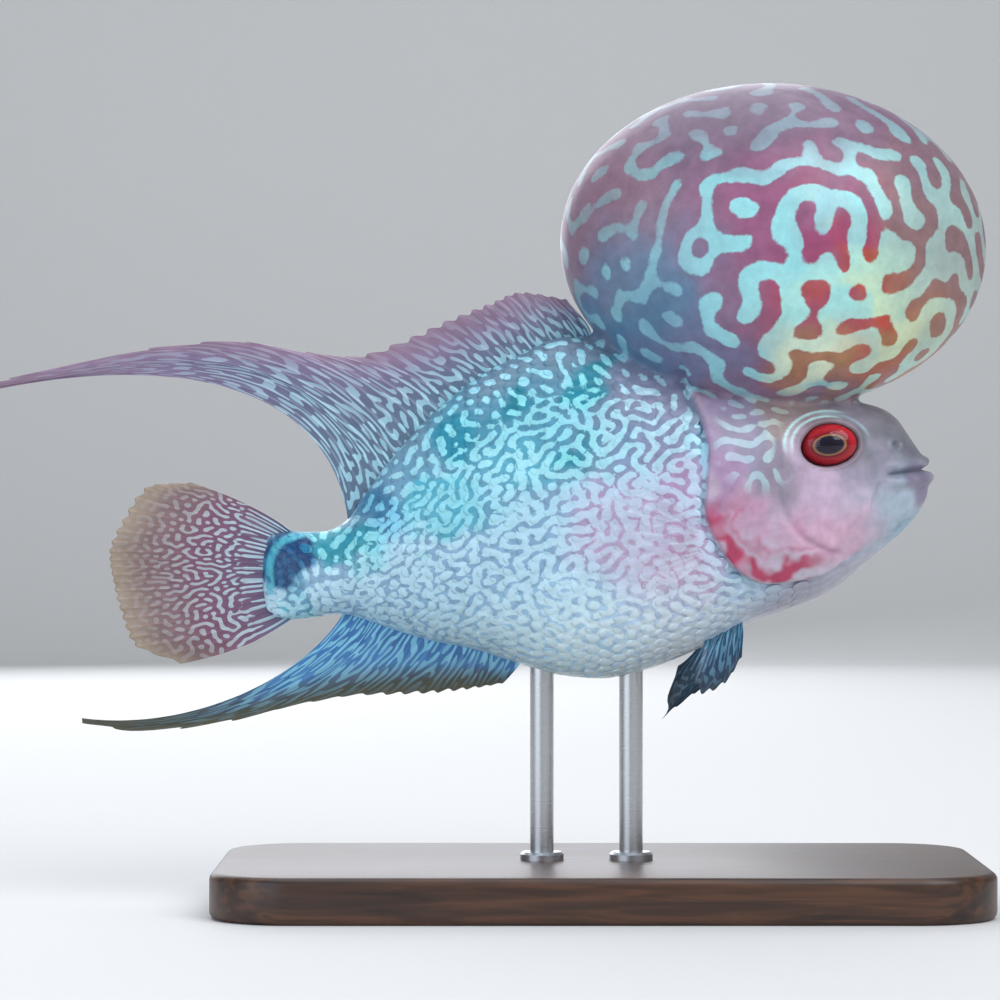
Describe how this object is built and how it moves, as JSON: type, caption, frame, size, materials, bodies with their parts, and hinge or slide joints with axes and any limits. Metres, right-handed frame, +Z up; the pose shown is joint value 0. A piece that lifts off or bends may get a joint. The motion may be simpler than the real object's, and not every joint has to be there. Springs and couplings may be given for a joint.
{
  "type": "flowerhorn cichlid",
  "caption": "Young flowerhorn cichlid with a very large round nuchal hump, trailing dorsal and anal fins and a fan tail, as a still life-size model on a flat base with slim rods.",
  "frame": {"origin": "centre of the stand base's underside, on the floor", "axes": "+X towards the snout, +Y towards the fish's left side, +Z up; the fish stands over the base in its middle plane Y = 0"},
  "size_m": [0.11, 0.046, 0.0903],
  "materials": {
    "skin": "wet-looking skin: blue-grey with pale turquoise flecks and worm lines, rose-red on the hump, near white on the belly",
    "fin": "satin membrane over fine rays, grey-mauve above, blue below, pale flecks",
    "clear_fin": "thin, almost clear membrane over fine rays",
    "eye": "wet gloss, red iris round a dark pupil with a thin gold ring",
    "stand_wood": "dark walnut, satin",
    "stand_steel": "brushed"
  },
  "bodies": {
    "root": {"nuchal_hump": "skin", "head": "skin", "lower_jaw": "skin", "gill_cover_right": "skin", "gill_cover_left": "skin", "eye_right": "eye", "eye_left": "eye", "torso": "skin", "tail_stem": "skin", "dorsal_fin": "fin", "dorsal_fin_trail": "fin", "anal_fin": "fin", "anal_fin_trail": "fin", "caudal_fin": "fin", "pelvic_fin_right": "fin", "pelvic_fin_left": "fin", "pectoral_fin_right": "clear_fin", "pectoral_fin_left": "clear_fin", "stand_base": "stand_wood", "stand_rod_back": "stand_steel", "stand_rod_front": "stand_steel"}
  },
  "joints": []
}
